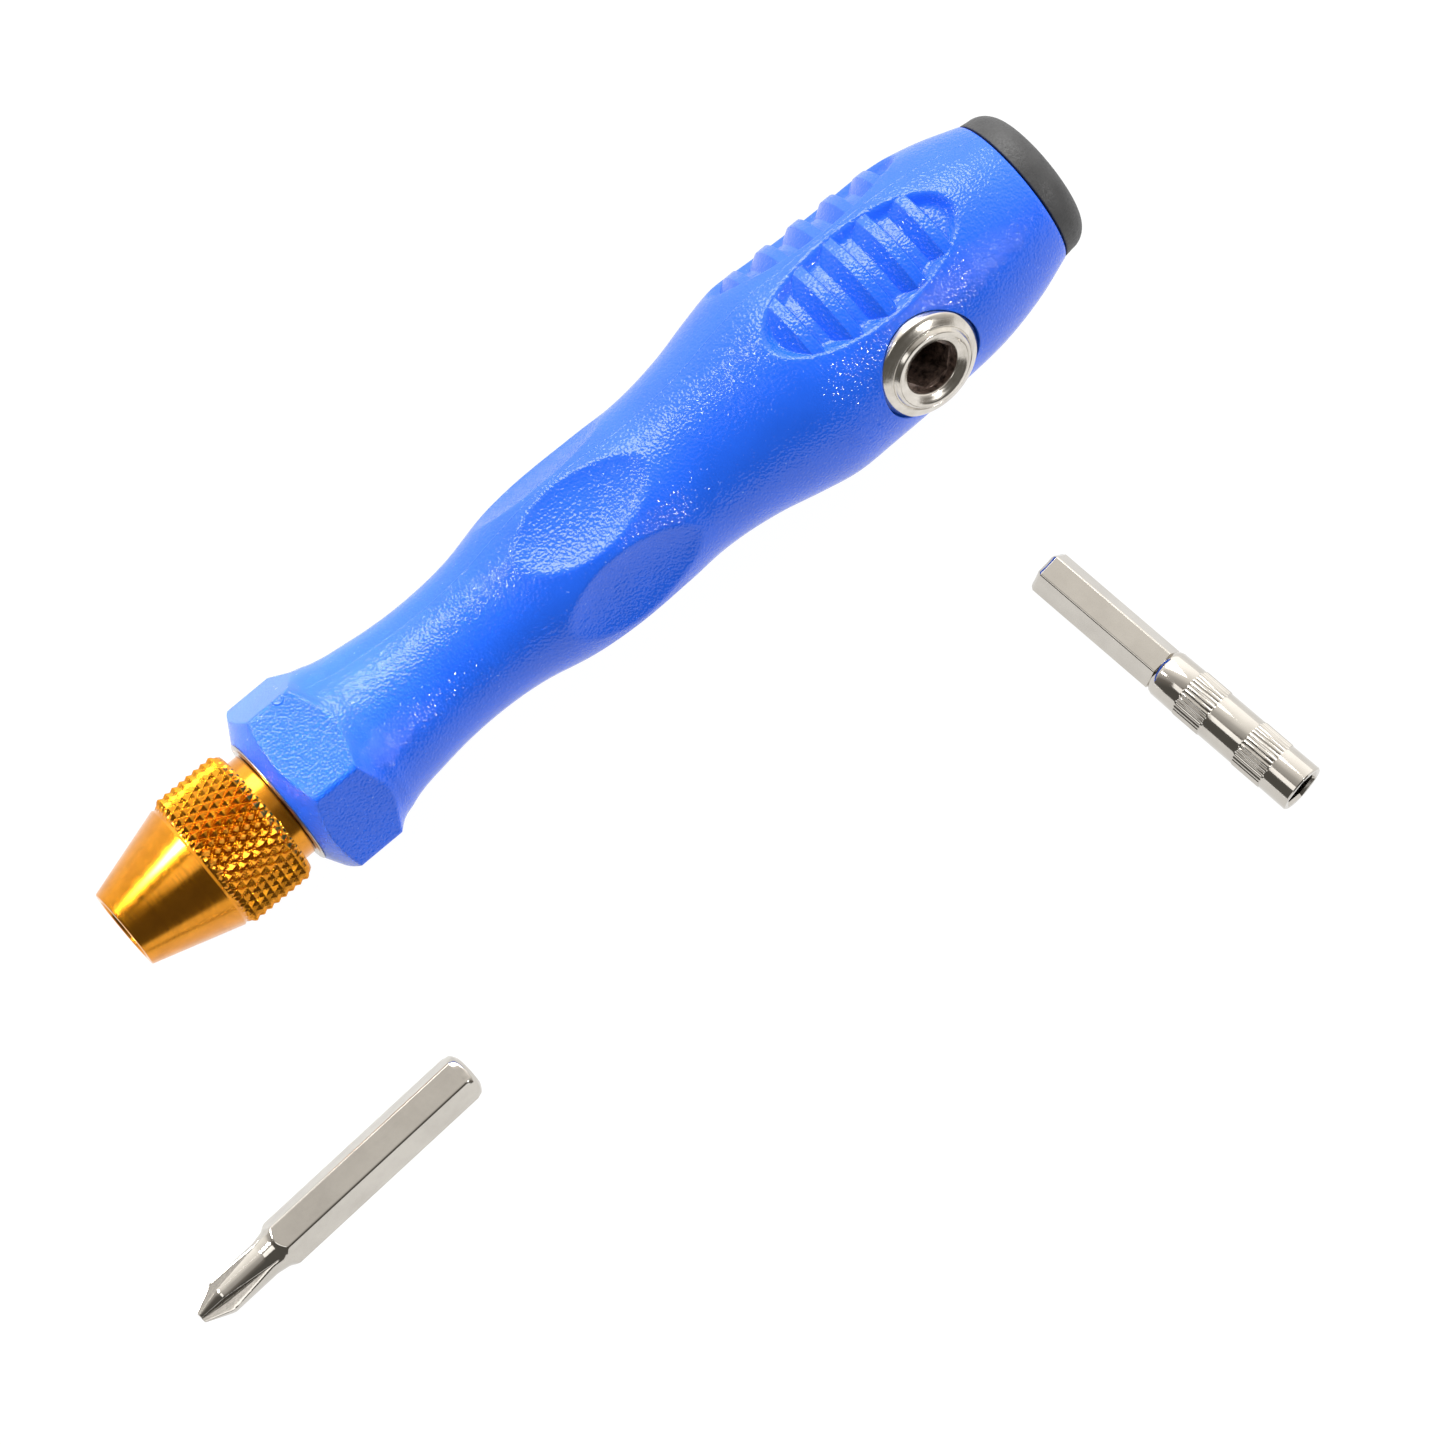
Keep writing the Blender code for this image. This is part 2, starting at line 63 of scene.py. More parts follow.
# Handle
CAP_JOINT_X = 3.0
HANDLE_FRONT_X = 83.4
FRONT_FACE_RADIUS = 6.15
FRONT_BORE = (4.7, 69.9)            # radius, and how far back it reaches
REAR_RECESS = (4.5, 7.3)            # radius, and how far forward it reaches
PIN_HOLE = (1.4, 12.5)
REAR_ROUNDING = 0.12                # of the edge at the cap
COLLAR_FLATS = 15.5
COLLAR_CORNER_RADIUS = 8.9
COLLAR_FRONT_X = 81.75
COLLAR_REAR_X = 77.4
COLLAR_FLATS_FROM = 74.0
COLLAR_SOFTNESS = 0.12              # rounding of the collar's edges
GRIP_OUTLINE = [                    # X and radius of the turned grip, from the cap to the collar
    (3.0, 7.12), (6.5, 8.30), (11.0, 9.28), (17.0, 9.72), (24.0, 9.88), (28.6, 9.79),
    (31.6, 9.18), (35.5, 8.27), (41.5, 7.65), (45.5, 7.89), (48.5, 8.10), (50.6, 8.12),
    (53.6, 7.80), (56.0, 7.33), (60.0, 6.47), (64.8, 6.12), (70.5, 6.49), (74.8, 7.31),
    (76.9, 8.30), (77.4, 8.90),
]
HANDLE_ROWS = [                     # where each stretch of the mesh ends, and how far apart its rows are
    (41.0, 0.5), (60.2, 0.2), (74.0, 0.6), (78.2, 0.14), (80.9, 0.4), (HANDLE_FRONT_X, 0.12),
]
FIRST_FACE = 30                     # direction of one of the collar's six faces
FACE_PITCH = 60
PARTING_FACE = 120                  # direction of the mould's parting line
PARTING_SPREAD = 0.08               # half of that line's width
GATE_X = 78.6
GATE_HEIGHT = 8.7                   # of the gate mark over the axis
GATE_RADIUS = 0.48
GATE_SPREAD = 0.14                  # half of the width of the gate's ring
GATE_LIFT = 2.5                     # the ring's height, in heights of the parting line
SCOOP_X = 50.6
SCOOP_HALF = (9.15, 5.5, 1.6)       # half length, half width and half height of the scoop's ellipsoid
SCOOP_OUT = 8.5                     # from the axis to the ellipsoid's middle
SCOOP_SOFTNESS = 0.16

OVAL_X = 19.2
OVAL_HALF = (10.15, 4.6)
OVAL_DEPTH = 0.95
OVAL_WALL = 1.5                     # width of the pocket's S-shaped wall
OVAL_BRINK = 16                     # where on its half wave the wall's S starts, degrees
OVAL_LID = 12.0                     # height over the axis of the outer end of what a pocket removes
OVAL_FACES = (90, 150)
RIDGE_X = 19.7                      # of the middle rib
RIB_COUNT = 5
RIB_PITCH = 3.5
RIB_SLOPE = 1.42
RIB_TOP = 0.95
RIB_BACK = 0.3
RIB_DEPTH = 0.05                    # of a rib's top under the handle's surface, at its middle
RIB_ARCH = 0.2                      # how much deeper a rib's top is at its ends
RIB_FOOT = 0.3                      # how far a rib reaches down past the pocket's floor
RIB_REACH = 1.05                    # half of a rib's length, in half widths of the pocket

# Side socket: its place on the handle, then radii, and heights over the handle's axis
BUSH_X = 19.05
BUSH_FACE = 26.3
BUSH_TOP = 10.15
BUSH_ENTRY = (2.5, 9.0)             # radius and floor of the round entry
BUSH_SOCKET_FLOOR = 2.6
SPOT_FACE = 8.0
SPOT_FACE_TOOL = 14.0               # how far out the seat's cutter reaches
FLANGE_RADIUS = 4.95
SEAT_GAP = 0.05
BUSH_SHANK_RADIUS = 3.5
HEX_SOCKET = 4.1                    # across flats, here and in the stud
SOCKET_SOFTNESS = 0.06

# Stud
STUD_REAR_X = 70.0
STUD_RADIUS = 4.6
STUD_FLANGE = (6.04, 0.15)          # radius and thickness
STUD_GAP = 0.05                     # between the flange and the handle's front
STUD_BORE = (3.2, 86.0)             # radius, and how far back it reaches
STUD_SOCKET_FLOOR = 77.3
SPIGOT_X = 91.2                     # front end of the stud's thread
SPIGOT_RIM = 3.5
THREAD_PITCH = 0.75
THREAD_DEPTH = 0.3
THREAD_PLAY = 0.1
THREAD_STEPS = 6                    # rows of the mesh in one turn of the thread

# Chuck nut
MOUTH_X = 100.0
MOUTH_RADIUS = 2.88
MOUTH_RIM = 3.70                    # outer radius of the nut's front face
NUT_RADIUS = 6.48
NUT_REAR_X = 83.7
NECK_RADIUS = 5.1
THREAD_RADIUS = 4.0
TAPER_X = (92.3, 98.9)
KNURL_X = (84.9, 91.8)
KNURL_COUNT = 42                    # diamonds round the nut
KNURL_ROWS = 9                      # half diamonds along the knurl
KNURL_DEPTH = 0.4
KNURL_STEPS = 4                     # grid steps in half a diamond
KNURL_RUN_OUT = 3                   # grid steps over which the knurl fades at its ends
KNURL_RELIEF = 0.12                 # how far those ends drop under the knurl's grooves

# End cap
CAP_GAP = 0.15                      # between the cap's rim and the handle
CAP_ROUNDING = 2.0
CAP_SIDE_RADIUS = 6.95              # where the rounding ends
CAP_RIM_RADIUS = 7.05
CAP_BOSS = (4.2, 6.6)               # radius, and how far forward it reaches
CAP_PIN_RADIUS = 1.65
CAP_HEAD_ROOM = (2.3, 3.9)          # radius and floor of the room for the pin's head

# Bits
LYING_HEIGHT = 9.9                  # of the handle's axis over the surface that the bits lie on
SHANK_SOFTNESS = 0.14
CROSS_HALF = 15.0                   # half of a bit's length
CROSS_FLATS = 4.0
CROSS_PLACE = (100.6, 26.75)
CROSS_TURN = 2.7
CROSS_POINT_LENGTH = 9.4            # from the shoulder to the tip
CROSS_NECK = 1.62
CROSS_CLEAR = 2.5                   # a radius outside the shank's corners
FLUTE_LENGTH = 7.8                  # of the cross point
FLUTE_FALL = 0.185                  # how fast a flute nears the axis
SOCKET_HALF = 14.4
SOCKET_FLATS = 3.7
SOCKET_PLACE = (19.7, 39.4)
SOCKET_TURN = 96.4
SOCKET_SHANK_LENGTH = 13.2
NUT_SOCKET = (3.0, 3.0)             # flats and depth of the socket in the barrel's end
BARREL_RADIUS = 2.28
BANDS = ((3.0, 5.9), (9.6, 12.7))   # ends of the fluted bands, from the shoulder
FLUTES = 36                         # round each fluted band of the barrel
FLUTE_DEPTH = 0.1

# Camera: where it stands, the axes of its picture, and its lens
CAMERA_PLACE = Vector((123.699, 161.662, 512.782)) * MM
CAMERA_RIGHT = Vector((-0.7593444, 0.64662984, -0.07256669))
CAMERA_UP = Vector((-0.63664522, -0.71527594, 0.28820685))
CAMERA_LENS = 161.94
CAMERA_SENSOR = 36.0

FLOOR_HALF = 1.5                    # half of the floor's width, in metres
FLOOR_GLOW = 0.98

# Surround: its colour from straight away from the pale side (0) to straight at it (1)
PALE_SIDE = (-0.62, -0.78, 0.0)
SURROUND = [(0.32, (0.12, 0.115, 0.105)), (0.42, (0.24, 0.22, 0.20)), (0.46, (0.48, 0.46, 0.44)),
            (0.58, (0.66, 0.64, 0.61)), (0.65, (1.0, 0.97, 0.93)), (0.80, (1.40, 1.37, 1.32)),
            (0.92, (1.90, 1.88, 1.85))]


# ---- shape tools ----------------------------------------------------------------------------------------

def even_angles(count):
    return np.arange(count) * TURN / count


def spaced(start, end, step):
    """Evenly spaced values from start to end, no further apart than step, without the end itself."""
    count = max(1, math.ceil(abs(end - start) / step - 1e-9))
    return [start + (end - start) * i / count for i in range(count)]


def softer(first, second, softness):
    """The lesser of two values, with the corner between them rounded."""
    share = np.clip(0.5 + 0.5 * (second - first) / softness, 0, 1)
    return second + (first - second) * share - softness * share * (1 - share)


def from_face(angles, pitch=FACE_PITCH, first=FIRST_FACE):
    """Each angle's distance from the middle of the nearest face, in radians."""
    pitch = math.radians(pitch)
    return (angles - math.radians(first) + pitch / 2) % pitch - pitch / 2


def hexagon_radius(angles, flats, first, softness):
    """Radius of a hexagon with rounded corners, from its size across flats and the angle of one flat."""
    away = from_face(angles, 60, first)
    this = flats / 2 / np.cos(away)
    other = flats / 2 / np.cos(math.radians(60) - np.abs(away))
    return softer(this, other, softness)


def rounded(points, radius, steps=3):
    """An outline of (position, radius) points with each corner between its ends rounded."""
    result = [points[0]]
    for before, corner, after in zip(points, points[1:], points[2:]):
        before, corner, after = (np.array(p, float) for p in (before, corner, after))
        back, ahead = before - corner, after - corner
        reach = min(radius, 0.45 * np.linalg.norm(back), 0.45 * np.linalg.norm(ahead))
        start = corner + back / np.linalg.norm(back) * reach
        end = corner + ahead / np.linalg.norm(ahead) * reach
        for i in range(steps + 1):
            t = i / steps
            result.append(tuple((1 - t) ** 2 * start + 2 * t * (1 - t) * corner + t ** 2 * end))
    return result + [points[-1]]


def skin(name, rows, angles, place, ring=False):
    """A closed piece from rows of (position, radius) round its frame's Z.

    A radius is one value, or one for each angle. The first and last rows lie on the axis, or the last row
    is joined to the first in a ring.
    """
    points = np.zeros((len(rows), len(angles), 3))
    for i, (position, radius) in enumerate(rows):
        points[i, :, 0] = radius * np.cos(angles)
        points[i, :, 1] = radius * np.sin(angles)
        points[i, :, 2] = position
    return loft(name, points, place, ring)


def loft(name, points, place, ring=False):
    """A closed piece through loops of points, each joined to the next. Points that coincide are welded."""
    loops, count = points.shape[:2]
    points = points * MM
    faces = []
    for i in range(loops if ring else loops - 1):
        this, following = i * count, (i + 1) % loops * count
        for j in range(count):
            k = (j + 1) % count
            faces.append((this + j, this + k, following + k, following + j))
    mesh = bpy.data.meshes.new(name)
    mesh.from_pydata(points.reshape(-1, 3), [], faces)
    shape = bmesh.new()
    shape.from_mesh(mesh)
    bmesh.ops.remove_doubles(shape, verts=shape.verts, dist=1e-7)
    bmesh.ops.recalc_face_normals(shape, faces=shape.faces)
    shape.to_mesh(mesh)
    shape.free()
    obj = bpy.data.objects.new(name, mesh)
    bpy.context.scene.collection.objects.link(obj)
    obj.matrix_world = place
    return obj


def cut(target, tool):
    """Takes a tool's shape out of a piece, and removes the tool."""
    modifier = target.modifiers.new(tool.name, "BOOLEAN")
    modifier.object = tool
    modifier.operation = "DIFFERENCE"
    modifier.solver = "EXACT"
    bpy.context.view_layer.update()
    evaluated = target.evaluated_get(bpy.context.evaluated_depsgraph_get())
    mesh = bpy.data.meshes.new_from_object(evaluated)
    target.modifiers.clear()
    target.data = mesh
    bpy.data.objects.remove(tool)


def shade(obj, angle=SHARP_ANGLE):
    obj.data.shade_smooth()
    obj.data.set_sharp_from_angle(angle=angle)


def facing(x, degrees):
    """A frame on the handle's axis at x, with its Z pointing out in a direction and its X along +X."""
    outward = Vector((0, math.cos(math.radians(degrees)), math.sin(math.radians(degrees))))
    along = Vector((1, 0, 0))
    turn = Matrix((along, outward.cross(along), outward)).transposed()
    return Matrix.Translation((x * MM, 0, 0)) @ turn.to_4x4()


def lying(place, degrees, height):
    """A frame at a bit's middle: its Z runs along the bit, and its X points up."""
    spot = Matrix.Translation(Vector((*place, height - LYING_HEIGHT)) * MM)
    return spot @ Euler((0, math.pi / 2, math.radians(degrees))).to_matrix().to_4x4()


def smooth_curve(points):
    """Cubic curve through points of rising x, with each point's slope weighted from its neighbours'."""
    slopes = [(b[1] - a[1]) / (b[0] - a[0]) for a, b in zip(points, points[1:])]
    widths = [b[0] - a[0] for a, b in zip(points, points[1:])]
    tangents = [slopes[0]]
    for i in range(1, len(slopes)):
        total = slopes[i - 1] * widths[i] + slopes[i] * widths[i - 1]
        tangents.append(total / (widths[i - 1] + widths[i]))
    tangents.append(slopes[-1])

    def value(x):
        i = max(j for j in range(len(widths)) if points[j][0] <= x or j == 0)
        t = (x - points[i][0]) / widths[i]
        rise = (2 * t**3 - 3 * t**2 + 1) * points[i][1] + (3 * t**2 - 2 * t**3) * points[i + 1][1]
        bend = (t**3 - 2 * t**2 + t) * tangents[i] + (t**3 - t**2) * tangents[i + 1]
        return rise + bend * widths[i]

    return value


# ---- material tools -------------------------------------------------------------------------------------

def set_stops(ramp, stops):
    """Fills a colour ramp node with (position, colour) stops."""
    elements = ramp.color_ramp.elements
    while len(elements) < len(stops):
        elements.new(0.5)
    for element, (position, color) in zip(elements, stops):
        element.position = position
        element.color = (*color, 1.0)


class Finish:
    """A node material under construction: a Principled shader, and short ways to add nodes to it."""

    def __init__(self, name, roughness, metallic=0.0):
        self.material = bpy.data.materials.new(name)
        self.material.use_nodes = True
        self.tree = self.material.node_tree
        self.shader = self.tree.nodes["Principled BSDF"]
        self.shader.inputs["Roughness"].default_value = roughness
        self.shader.inputs["Metallic"].default_value = metallic
        self.place = self.node("ShaderNodeTexCoord").outputs["Object"]

    def node(self, kind, inputs=None, **settings):
        made = self.tree.nodes.new(kind)
        for key, value in settings.items():
            setattr(made, key, value)
        for key, value in (inputs or {}).items():
            if isinstance(value, bpy.types.NodeSocket):
                self.tree.links.new(value, made.inputs[key])
            else:
                made.inputs[key].default_value = value
        return made

    def noise(self, scale, detail=2.0, roughness=0.5, place=None):
        made = self.node("ShaderNodeTexNoise", {"Vector": place or self.place, "Scale": scale,
                                                "Detail": detail, "Roughness": roughness})
        return made.outputs["Fac"]

    def maths(self, operation, *values):
        return self.node("ShaderNodeMath", dict(enumerate(values)), operation=operation).outputs[0]

    def spread(self, value, low, high, to_low, to_high):
        made = self.node("ShaderNodeMapRange", {"Value": value, "From Min": low, "From Max": high,
                                                "To Min": to_low, "To Max": to_high})
        return made.outputs["Result"]

    def ramp(self, value, stops):
        made = self.node("ShaderNodeValToRGB", {"Fac": value})
        set_stops(made, stops)
        return made.outputs["Color"]

    def mix(self, share, first, second):
        made = self.node("ShaderNodeMix", {"Factor": share}, data_type="RGBA")
        for socket, value in ((made.inputs[6], first), (made.inputs[7], second)):
            if isinstance(value, bpy.types.NodeSocket):
                self.tree.links.new(value, socket)
            else:
                socket.default_value = (*value, 1.0)
        return made.outputs[2]

    def round_axis(self):
        """The place as (distance from the frame's Z axis, 0, height), so that a pattern runs in rings."""
        parts = self.node("ShaderNodeSeparateXYZ", {"Vector": self.place})
        squares = [self.maths("MULTIPLY", parts.outputs[axis], parts.outputs[axis]) for axis in "XY"]
        away = self.maths("SQRT", self.maths("ADD", *squares))
        return self.node("ShaderNodeCombineXYZ", {"X": away, "Z": parts.outputs["Z"]}).outputs["Vector"]

    def color(self, value):
        if isinstance(value, bpy.types.NodeSocket):
            self.tree.links.new(value, self.shader.inputs["Base Color"])
        else:
            self.shader.inputs["Base Color"].default_value = (*value, 1.0)

    def roughness(self, value):
        self.tree.links.new(value, self.shader.inputs["Roughness"])

    def coat(self, weight, ior, roughness):
        """A clear layer over the surface."""
        for name, value in (("Weight", weight), ("IOR", ior), ("Roughness", roughness)):
            self.shader.inputs["Coat " + name].default_value = value

    def soft_edges(self, radius):
        """Normals that round sharp edges over a radius, for the first bump to start from."""
        return self.node("ShaderNodeBevel", {"Radius": radius * MM}, samples=6).outputs["Normal"]

    def bump(self, height, depth, strength, under, layer="Normal"):
        """Relief of a depth in millimetres on the normal under it, for the surface or for its coat."""
        inputs = {"Height": height, "Distance": depth * MM, "Strength": strength, "Normal": under}
        made = self.node("ShaderNodeBump", inputs)
        self.tree.links.new(made.outputs["Normal"], self.shader.inputs[layer])
        return made.outputs["Normal"]


# ---- materials ------------------------------------------------------------------------------------------

def blue_plastic():
    """Moulded blue plastic: grain in its gloss, faint mottling, pale dust, parting line, gate mark."""
    finish = Finish("handle_blue", 0.4)
    finish.shader.inputs["Specular IOR Level"].default_value = 0.0
    finish.coat(0.8, 1.6, 0.10)
    mottle = finish.noise(160, 4.0, 0.6)
    color = finish.ramp(mottle, [(0.3, (0.014, 0.124, 0.84)), (0.7, (0.018, 0.142, 0.94))])
    dust = finish.spread(finish.noise(2600, 1.0), 0.74, 0.80, 0.0, 0.35)
    finish.color(finish.mix(dust, color, (0.35, 0.55, 1.0)))
    marked = finish.bump(mould_marks(finish), 0.03, 0.8, finish.soft_edges(0.16))
    finish.bump(finish.noise(4400, 0.0, 0.5), 0.075, 1.0, marked, "Coat Normal")
    return finish.material


def mould_marks(finish):
    """Height of the raised parting line and of the gate's ring, in the handle's own frame."""
    parting = math.radians(PARTING_FACE)
    sideways = (-math.sin(parting), math.cos(parting), 0)
    across = finish.node("ShaderNodeVectorMath", {0: finish.place, 1: sideways}, operation="DOT_PRODUCT")
    off_line = finish.maths("ABSOLUTE", across.outputs["Value"])
    line = finish.spread(off_line, 0.0, PARTING_SPREAD * MM, 1.0, 0.0)
    gate = Vector((GATE_HEIGHT * math.cos(parting), GATE_HEIGHT * math.sin(parting), GATE_X)) * MM
    away = finish.node("ShaderNodeVectorMath", {0: finish.place, 1: gate}, operation="DISTANCE")
    off_ring = finish.maths("ABSOLUTE", finish.maths("SUBTRACT", away.outputs["Value"], GATE_RADIUS * MM))
    ring = finish.spread(off_ring, 0.0, GATE_SPREAD * MM, 1.0, 0.0)
    return finish.maths("ADD", line, finish.maths("MULTIPLY", ring, GATE_LIFT))


def charcoal_plastic():
    finish = Finish("cap_charcoal", 0.55)
    mottle = finish.noise(400, 4.0, 0.6)
    finish.color(finish.ramp(mottle, [(0.3, (0.040, 0.040, 0.041)), (0.7, (0.056, 0.056, 0.057))]))
    grain = finish.noise(4200, 2.0, 0.6)
    finish.roughness(finish.spread(grain, 0.35, 0.7, 0.45, 0.65))
    finish.bump(grain, 0.05, 0.6, finish.soft_edges(0.1))
    return finish.material


def metal(name, dark, pale, roughness, ring_depth=0.0, tone_scale=700, pits=0.0, edge=0.05):
    """Plated or anodised metal: tone that drifts a little, tool rings round its axis, and fine pits."""
    finish = Finish(name, roughness, 1.0)
    tone = finish.noise(tone_scale, 4.0, 0.6)
    finish.color(finish.ramp(tone, [(0.35, dark), (0.65, pale)]))
    normal = finish.soft_edges(edge)
    if ring_depth:
        rings = finish.noise(5500, 3.0, 0.65, finish.round_axis())
        finish.roughness(finish.spread(rings, 0.3, 0.7, roughness * 0.7, roughness * 1.45))
        normal = finish.bump(rings, ring_depth, 0.7, normal)
    if pits:
        finish.bump(finish.noise(2400, 3.0, 0.6), pits, 0.6, normal)
    return finish


def gold():
    finish = metal("gold_anodised", (0.66, 0.240, 0.006), (0.76, 0.290, 0.009), 0.17, 0.009)
    finish.coat(0.2, 1.8, 0.15)
    return finish.material


def stud_plate():
    return metal("stud_nickel", (0.50, 0.47, 0.43), (0.64, 0.61, 0.56), 0.25, 0.006).material


def bush_plate():
    """Nickel plate, with painted shade inside the entry bore: there the colour turns dark brown and far
    less metallic.
    """
    finish = metal("bush_nickel", (0.60, 0.56, 0.50), (0.74, 0.70, 0.64), 0.17, 0.004, 500, pits=0.012)
    # Painted shade: inside the entry bore the colour turns dark brown and the surface is made far less
    # metallic.
    away = finish.node("ShaderNodeSeparateXYZ", {"Vector": finish.round_axis()}).outputs["X"]
    entry = BUSH_ENTRY[0]
    inside = finish.spread(away, entry * MM, (entry + 0.06) * MM, 1.0, 0.0)
    plate = finish.shader.inputs["Base Color"].links[0].from_socket
    bore_shade_tone = finish.noise(1500, 4.0, 0.65)
    bore = finish.ramp(bore_shade_tone, [(0.35, (0.03, 0.02, 0.017)), (0.7, (0.30, 0.21, 0.17))])
    finish.color(finish.mix(inside, plate, bore))
    finish.tree.links.new(finish.spread(inside, 0.0, 1.0, 1.0, 0.25), finish.shader.inputs["Metallic"])
    return finish.material


def bit_plate():
    dark, pale = (0.53, 0.50, 0.455), (0.585, 0.555, 0.505)
    return metal("bit_plate", dark, pale, 0.10, tone_scale=300, pits=0.003, edge=0.03).material


def collet_steel():
    return metal("collet_steel", (0.30, 0.28, 0.26), (0.45, 0.43, 0.41), 0.32, 0.01).material


def magnet_plate():
    dark, pale = (0.12, 0.115, 0.11), (0.24, 0.23, 0.22)
    return metal("magnet_plate", dark, pale, 0.4, tone_scale=900, pits=0.03).material


def acetal():
    finish = Finish("white_acetal", 0.5)
    finish.color(finish.ramp(finish.noise(300), [(0.3, (0.74, 0.74, 0.71)), (0.7, (0.82, 0.82, 0.79))]))
    finish.bump(finish.noise(3000), 0.01, 0.5, finish.soft_edges(0.05))
    return finish.material


# ---- handle ---------------------------------------------------------------------------------------------

HANDLE_FRAME = Matrix(((0, 0, 1), (1, 0, 0), (0, 1, 0))).to_4x4()    # its Z is the handle's axis
grip_radius = smooth_curve(GRIP_OUTLINE)


def handle_positions():
    """Row positions along the handle, closer together where the surface has fine shape."""
    positions = []
    start = CAP_JOINT_X + REAR_ROUNDING
    for end, step in HANDLE_ROWS:
        positions += spaced(start, end, step)
        start = end
    return positions


def collar_radius(x, angles):
    """The hexagonal collar: flats, trimmed corners and the front chamfer."""
    turned = COLLAR_CORNER_RADIUS if x > COLLAR_REAR_X else grip_radius(x)
    drop = (COLLAR_CORNER_RADIUS - FRONT_FACE_RADIUS) / (HANDLE_FRONT_X - COLLAR_FRONT_X)
    chamfer = COLLAR_CORNER_RADIUS + (COLLAR_FRONT_X - x) * drop
    flats = hexagon_radius(angles, COLLAR_FLATS, FIRST_FACE, COLLAR_SOFTNESS)
    return softer(softer(turned, chamfer, COLLAR_SOFTNESS), flats, COLLAR_SOFTNESS)


def scoop_radius(x, angles, surface):
    """The surface, hollowed by an ellipsoid at each of the six faces."""
    length, width, height = SCOOP_HALF
    along = ((x - SCOOP_X) / length) ** 2
    if along >= 1:
        return surface
    away = from_face(angles)
    square = (np.sin(away) / width) ** 2 + (np.cos(away) / height) ** 2
    linear = SCOOP_OUT * np.cos(away) / height ** 2
    rest = (SCOOP_OUT / height) ** 2 + along - 1
    inside = linear ** 2 - square * rest
    floor = np.where(inside > 0, (linear - np.sqrt(np.maximum(inside, 0))) / square, surface + 1)
    return softer(surface, floor, SCOOP_SOFTNESS)


def handle_radius(x, angles):
    if x > COLLAR_FLATS_FROM:
        return collar_radius(x, angles)
    return scoop_radius(x, angles, np.full(len(angles), grip_radius(x)))


def over_axis(x, across, depth):
    """Height over the axis, in a face's frame, of the point that lies a depth under the turned surface."""
    radius = np.array([grip_radius(value) for value in np.atleast_1d(x)]) - depth
    return np.sqrt(radius ** 2 - across ** 2)


def make_pocket(face):
    """What one ribbed oval removes: an elliptic plug with an S-shaped wall, less its ribs."""
    length, width = OVAL_HALF
    around = even_angles(112)
    lid_height = np.full(len(around), OVAL_LID)
    lid = np.stack([length * np.cos(around), width * np.sin(around), lid_height], axis=-1)
    loops = [lid * (0, 0, 1), lid]
    brink = math.radians(OVAL_BRINK)
    for share in np.linspace(-0.08, 1, 15):     # from just over the surface, down the wall to the floor
        inward = OVAL_WALL * share
        x, y = (length - inward) * np.cos(around), (width - inward) * np.sin(around)
        drop = math.cos(brink) - math.cos(brink + (math.pi - brink) * share)
        depth = OVAL_DEPTH * drop / (1 + math.cos(brink))
        loops.append(np.stack([x, y, over_axis(OVAL_X + x, y, depth)], axis=-1))
    edge_x, edge_y = loops[-1][:, 0], loops[-1][:, 1]
    for share in np.linspace(1, 0, 9)[1:]:
        x, y = edge_x * share, edge_y * share
        loops.append(np.stack([x, y, over_axis(OVAL_X + x, y, OVAL_DEPTH)], axis=-1))
    plug = loft(f"pocket_{face}", np.array(loops), facing(OVAL_X, face))
    for i in range(RIB_COUNT):
        cut(plug, make_rib(RIDGE_X + (i - RIB_COUNT // 2) * RIB_PITCH, face))
    return plug


def make_rib(ridge_x, face):
    """A bar right across a pocket: a slope towards the chuck, an arched top, a steep side to the cap."""
    spread = 1 + RIB_FOOT / OVAL_DEPTH
    front, back = RIB_SLOPE * spread, -RIB_TOP - RIB_BACK * spread
    section = [(front, False), (0, True), (-RIB_TOP, True), (back, False)]
    loops = []
    for share in np.linspace(-1, 1, 21):
        y = RIB_REACH * OVAL_HALF[1] * share
        top = RIB_DEPTH + RIB_ARCH * share ** 2
        loop = []
        for along, high in section:
            height = over_axis(ridge_x, y, top if high else OVAL_DEPTH + RIB_FOOT)[0]
            loop.append((ridge_x - OVAL_X + along, y, height))
        loops.append(loop)
    ends = [[np.mean(loop, axis=0)] * len(section) for loop in (loops[0], loops[-1])]
    return loft("rib", np.array([ends[0]] + loops + [ends[1]]), facing(OVAL_X, face))


def make_handle():
    angles = even_angles(360)
    rim = grip_radius(CAP_JOINT_X)
    rows = [(PIN_HOLE[1], 0), PIN_HOLE[::-1], (REAR_RECESS[1], PIN_HOLE[0]), REAR_RECESS[::-1]]
    rows += [(CAP_JOINT_X, REAR_RECESS[0]), (CAP_JOINT_X, rim - REAR_ROUNDING)]
    rows.append((CAP_JOINT_X + REAR_ROUNDING / 3, rim - REAR_ROUNDING / 4))
    rows += [(x, handle_radius(x, angles)) for x in handle_positions()]
    rows += [(HANDLE_FRONT_X, FRONT_FACE_RADIUS - 0.05), (HANDLE_FRONT_X, FRONT_BORE[0])]
    rows += [FRONT_BORE[::-1], (FRONT_BORE[1], 0)]
    handle = skin("handle_moulding", rows, angles, HANDLE_FRAME)
    cut(handle, make_bush_seat())
    for face in OVAL_FACES:
        cut(handle, make_pocket(face))
    shade(handle, math.radians(24))
    return handle


def make_bush_seat():
    """The stepped bore that the side bush sits in, as a cutter."""
    seat, shank = FLANGE_RADIUS + SEAT_GAP, BUSH_SHANK_RADIUS + SEAT_GAP
    bore = [(SPOT_FACE_TOOL, 0), (SPOT_FACE_TOOL, seat), (SPOT_FACE, seat)]
    bore += [(SPOT_FACE, shank), (-SEAT_GAP, shank), (-SEAT_GAP, 0)]
    return skin("bush_seat", bore, even_angles(120), facing(BUSH_X, BUSH_FACE))


# ---- chuck nut ------------------------------------------------------------------------------------------

